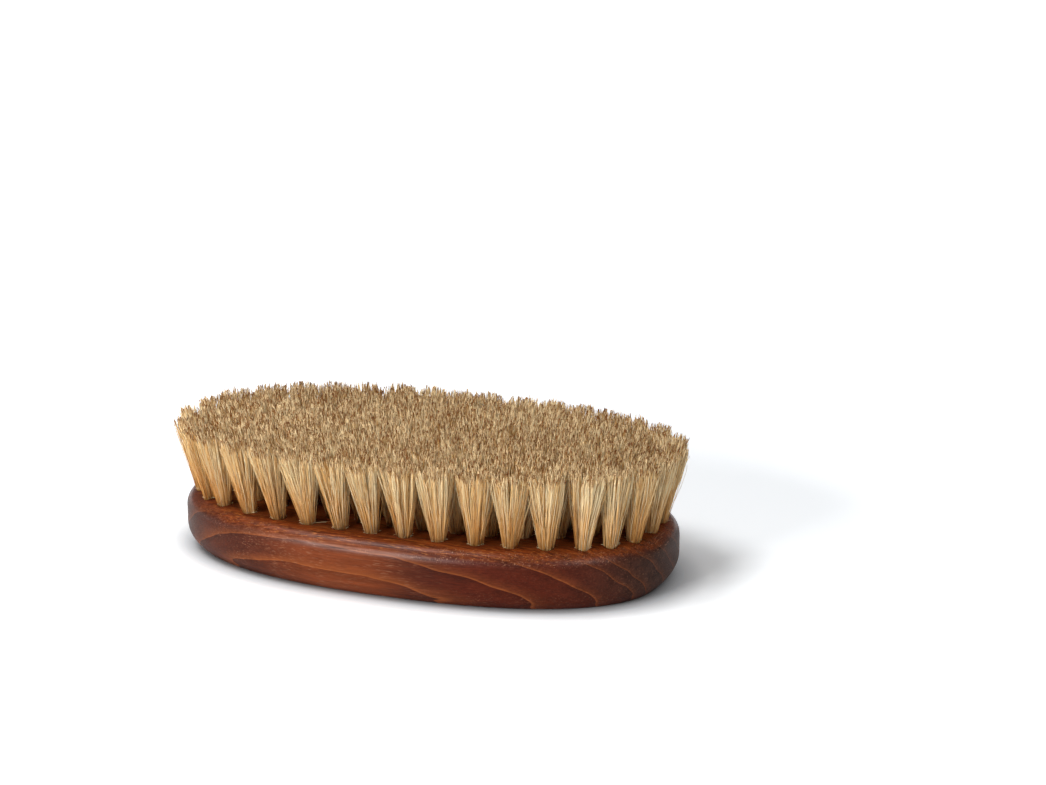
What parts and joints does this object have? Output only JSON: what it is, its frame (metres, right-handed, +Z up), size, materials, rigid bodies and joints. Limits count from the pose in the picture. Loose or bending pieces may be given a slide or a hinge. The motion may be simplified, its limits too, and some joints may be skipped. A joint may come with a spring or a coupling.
{
  "type": "felt brush",
  "caption": "Oval hand brush for felt and cloth: a stained beech block, flat-backed, with a chamfered back and rows of leaning natural bristle tufts",
  "frame": {"origin": "under the middle of the brush, on the surface that its flat back rests on", "axes": "+X along the length, +Y across the width to the back, +Z up through the bristles"},
  "size_m": [0.1218, 0.0664, 0.032],
  "materials": {
    "stained_beech": "satin",
    "bristle": "matte"
  },
  "bodies": {
    "root": {"tuft_row_1_back_left": "bristle", "tuft_row_1_back_right": "bristle", "tuft_row_1_front_left": "bristle", "tuft_row_1_front_right": "bristle", "tuft_row_2_back_left": "bristle", "tuft_row_2_back_right": "bristle", "tuft_row_2_front_left": "bristle", "tuft_row_2_front_right": "bristle", "tuft_row_3_back_left": "bristle", "tuft_row_3_back_right": "bristle", "tuft_row_3_front_left": "bristle", "tuft_row_3_front_right": "bristle", "tuft_row_4_back_left": "bristle", "tuft_row_4_back_right": "bristle", "tuft_row_4_front_left": "bristle", "tuft_row_4_front_right": "bristle", "tuft_row_5_middle": "bristle", "wooden_block": "stained_beech"}
  },
  "joints": []
}
